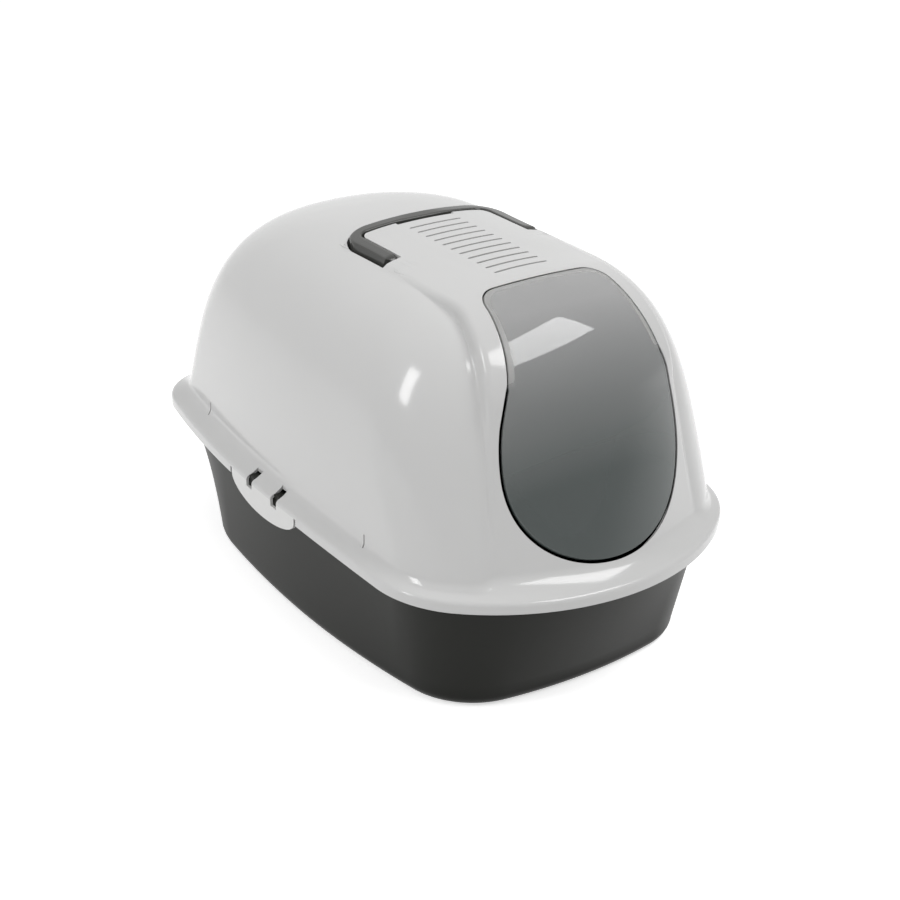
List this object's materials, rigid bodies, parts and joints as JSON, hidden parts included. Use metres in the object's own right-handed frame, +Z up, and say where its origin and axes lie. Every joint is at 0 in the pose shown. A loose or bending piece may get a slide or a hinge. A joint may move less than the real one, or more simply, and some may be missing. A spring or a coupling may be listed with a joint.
{
  "type": "covered cat litter box",
  "caption": "Deep litter tray with a latched domed hood, a swing door that hangs on side pins, a fold-down carry handle and a filter under the roof vents.",
  "frame": {"origin": "middle of the footprint's bounding box, on the floor under the tray", "axes": "+Z up, -Y out through the swing door, +X to the right seen from the door"},
  "size_m": [0.34, 0.57, 0.3355],
  "materials": {
    "tray_plastic": "satin moulded polypropylene",
    "hood_plastic": "semi-gloss moulded polypropylene",
    "door_smoked": "polished, smoked, see-through",
    "handle_plastic": "semi-gloss moulded polypropylene",
    "frame_plastic": "moulded, satin",
    "carbon_pad": "charcoal-loaded felt"
  },
  "bodies": {
    "tray_base": {"tray": "tray_plastic"},
    "hood_shell": {"hood": "hood_plastic"},
    "left_latch": {"left_latch_tongue": "hood_plastic"},
    "right_latch": {"right_latch_tongue": "hood_plastic"},
    "swing_door": {"door": "door_smoked"},
    "bail": {"carry_handle": "handle_plastic"},
    "filter_holder": {"filter_frame": "frame_plastic", "carbon_filter": "carbon_pad"}
  },
  "joints": [
    {"name": "hood_lift", "type": "slide", "parent": "tray_base", "child": "hood_shell", "axis": [0, 0, 1], "range_m": [0, 0.16]},
    {"name": "left_latch_flex", "type": "hinge", "parent": "hood_shell", "child": "left_latch", "pos_m": [-0.17, 0.0145, 0.117], "axis": [0, 1, 0], "range_deg": [0, 12], "stiffness_Nm_per_rad": 1.5},
    {"name": "right_latch_flex", "type": "hinge", "parent": "hood_shell", "child": "right_latch", "pos_m": [0.17, 0.0145, 0.117], "axis": [0, -1, 0], "range_deg": [0, 12], "stiffness_Nm_per_rad": 1.5},
    {"name": "door_swing", "type": "hinge", "parent": "hood_shell", "child": "swing_door", "pos_m": [0, -0.203, 0.271], "axis": [1, 0, 0], "range_deg": [-36, 60]},
    {"name": "handle_fold", "type": "hinge", "parent": "hood_shell", "child": "bail", "pos_m": [0, -0.034, 0.3215], "axis": [1, 0, 0], "range_deg": [0, 90]},
    {"name": "filter_swing", "type": "hinge", "parent": "hood_shell", "child": "filter_holder", "pos_m": [0, -0.0035, 0.32], "axis": [1, 0, 0], "range_deg": [0, 88]}
  ]
}
